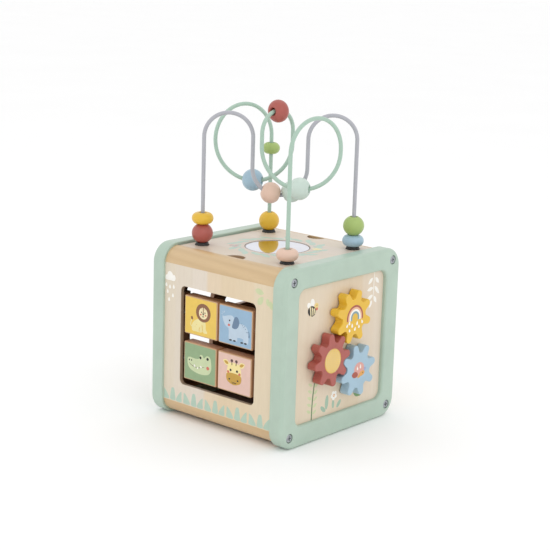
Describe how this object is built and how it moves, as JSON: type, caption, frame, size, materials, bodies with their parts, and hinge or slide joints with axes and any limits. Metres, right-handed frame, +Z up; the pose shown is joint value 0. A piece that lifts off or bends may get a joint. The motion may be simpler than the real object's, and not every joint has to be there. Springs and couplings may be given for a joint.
{
  "type": "activity cube",
  "caption": "Wooden activity cube with gears, turning tiles, shape-sorter holes, a mirrored lift-off lid and a bead maze on bent wires.",
  "frame": {"origin": "on the ground under the middle of the toy's box, which reaches from the left frame's outside face to the front of the gears", "axes": "+Z up, -Y towards the turning tiles, +X towards the gears"},
  "size_m": [0.2074, 0.2, 0.3635],
  "materials": {
    "sage_paint": "satin sage green paint on wood board",
    "rail_wood": "clear-lacquered solid wood",
    "panel_wood": "printed plywood panel",
    "lid_wood": "printed plywood panel",
    "inner_wood": "bare wood",
    "tile_wood": "wooden tile with a printed face",
    "steel": "zinc-plated steel",
    "mirror": "acrylic mirror",
    "grey_wire": "plastic-coated steel wire",
    "green_wire": "plastic-coated steel wire",
    "black_plastic": "black moulded plastic",
    "red_paint": "painted wood",
    "yellow_paint": "painted wood",
    "blue_paint": "painted wood",
    "green_paint": "painted wood",
    "peach_paint": "painted wood",
    "mint_paint": "painted wood"
  },
  "bodies": {
    "cube": {"frame_right": "sage_paint", "frame_left": "sage_paint", "frame_screws_right": "steel", "frame_screws_left": "steel", "rail_front_top": "rail_wood", "rail_back_top": "rail_wood", "rail_front_bottom": "rail_wood", "rail_back_bottom": "rail_wood", "front_panel": "panel_wood", "back_panel": "panel_wood", "base_panel": "inner_wood", "sorter_panel": "panel_wood", "gear_panel": "panel_wood", "gear_washers": "black_plastic", "tile_rod_upper": "steel", "tile_rod_lower": "steel", "rod_cheek_left": "inner_wood", "rod_cheek_right": "inner_wood"},
    "lid": {"lid_panel": "lid_wood", "mirror": "mirror", "wire_grey": "grey_wire", "wire_green": "green_wire", "wire_collars": "black_plastic", "wire_end_caps": "black_plastic"},
    "gear_red": {"gear_red": "red_paint", "spindle_red": "inner_wood", "retainer_red": "black_plastic"},
    "gear_yellow": {"gear_yellow": "yellow_paint", "spindle_yellow": "inner_wood", "retainer_yellow": "black_plastic"},
    "gear_blue": {"gear_blue": "blue_paint", "spindle_blue": "inner_wood", "retainer_blue": "black_plastic"},
    "tile_upper_left": {"tile_upper_left": "tile_wood"},
    "tile_upper_right": {"tile_upper_right": "tile_wood"},
    "tile_lower_left": {"tile_lower_left": "tile_wood"},
    "tile_lower_right": {"tile_lower_right": "tile_wood"},
    "bead_left_red": {"bead_left_red": "red_paint"},
    "bead_left_yellow": {"bead_left_yellow": "yellow_paint"},
    "bead_right_blue": {"bead_right_blue": "blue_paint"},
    "bead_right_green": {"bead_right_green": "green_paint"},
    "bead_front_peach": {"bead_front_peach": "peach_paint"},
    "bead_back_yellow": {"bead_back_yellow": "yellow_paint"},
    "bead_back_green": {"bead_back_green": "green_paint"},
    "bead_dip_peach": {"bead_dip_peach": "peach_paint"},
    "bead_dip_mint": {"bead_dip_mint": "mint_paint"},
    "bead_loop_mint": {"bead_loop_mint": "mint_paint"},
    "bead_loop_red": {"bead_loop_red": "red_paint"},
    "bead_loop_blue": {"bead_loop_blue": "blue_paint"}
  },
  "joints": [
    {"name": "lid_lift", "type": "slide", "parent": "cube", "child": "lid", "axis": [0, 0, 1], "range_m": [0, 0.07]},
    {"name": "gear_red_spin", "type": "hinge", "parent": "cube", "child": "gear_red", "pos_m": [0.09625, -0.0258, 0.091], "axis": [1, 0, 0], "continuous": true},
    {"name": "gear_yellow_spin", "type": "hinge", "parent": "cube", "child": "gear_yellow", "pos_m": [0.09625, 0.0094, 0.134], "axis": [1, 0, 0], "continuous": true},
    {"name": "gear_blue_spin", "type": "hinge", "parent": "cube", "child": "gear_blue", "pos_m": [0.09625, 0.0212, 0.0702], "axis": [1, 0, 0], "continuous": true},
    {"name": "tile_upper_left_flip", "type": "hinge", "parent": "cube", "child": "tile_upper_left", "pos_m": [-0.02995, -0.089, 0.1257], "axis": [1, 0, 0], "continuous": true},
    {"name": "tile_upper_right_flip", "type": "hinge", "parent": "cube", "child": "tile_upper_right", "pos_m": [0.02245, -0.089, 0.1257], "axis": [1, 0, 0], "continuous": true},
    {"name": "tile_lower_left_flip", "type": "hinge", "parent": "cube", "child": "tile_lower_left", "pos_m": [-0.02995, -0.089, 0.0723], "axis": [1, 0, 0], "continuous": true},
    {"name": "tile_lower_right_flip", "type": "hinge", "parent": "cube", "child": "tile_lower_right", "pos_m": [0.02245, -0.089, 0.0723], "axis": [1, 0, 0], "continuous": true},
    {"name": "bead_left_red_slide", "type": "slide", "parent": "lid", "child": "bead_left_red", "axis": [0, 0, 1], "range_m": [0, 0.04]},
    {"name": "bead_left_yellow_slide", "type": "slide", "parent": "bead_left_red", "child": "bead_left_yellow", "axis": [0, 0, 1], "range_m": [0, 0.04]},
    {"name": "bead_right_blue_slide", "type": "slide", "parent": "lid", "child": "bead_right_blue", "axis": [0, 0, 1], "range_m": [0, 0.04]},
    {"name": "bead_right_green_slide", "type": "slide", "parent": "bead_right_blue", "child": "bead_right_green", "axis": [0, 0, 1], "range_m": [0, 0.04]},
    {"name": "bead_front_peach_slide", "type": "slide", "parent": "lid", "child": "bead_front_peach", "axis": [0, 0, 1], "range_m": [0, 0.098]},
    {"name": "bead_back_yellow_slide", "type": "slide", "parent": "lid", "child": "bead_back_yellow", "axis": [0, 0, 1], "range_m": [0, 0.034]},
    {"name": "bead_back_green_slide", "type": "slide", "parent": "lid", "child": "bead_back_green", "axis": [0, 0, 1], "range_m": [-0.035, 0.007]},
    {"name": "bead_dip_peach_swing", "type": "hinge", "parent": "lid", "child": "bead_dip_peach", "pos_m": [-0.00375, 0, 0.2873], "axis": [-0.6668, 0.7452, 0], "range_deg": [0, 50]},
    {"name": "bead_dip_mint_swing", "type": "hinge", "parent": "lid", "child": "bead_dip_mint", "pos_m": [-0.00375, 0, 0.2873], "axis": [-0.6668, 0.7452, 0], "range_deg": [-45, 0]},
    {"name": "bead_loop_mint_swing", "type": "hinge", "parent": "lid", "child": "bead_loop_mint", "pos_m": [0.03068, -0.00538, 0.3132], "axis": [0.4218, -0.9067, 0], "range_deg": [-70, 70]},
    {"name": "bead_loop_red_swing", "type": "hinge", "parent": "lid", "child": "bead_loop_red", "pos_m": [-0.00868, 0.00012, 0.327], "axis": [-0.9983, 0.0587, 0], "range_deg": [-50, 50]},
    {"name": "bead_loop_blue_swing", "type": "hinge", "parent": "lid", "child": "bead_loop_blue", "pos_m": [-0.04713, 0.00326, 0.3124], "axis": [0.4716, -0.8818, 0], "range_deg": [-70, 70]}
  ],
  "couplings": [
    {"joint": "gear_yellow_spin", "follows": "gear_red_spin", "ratio": -1},
    {"joint": "gear_blue_spin", "follows": "gear_red_spin", "ratio": -1}
  ]
}
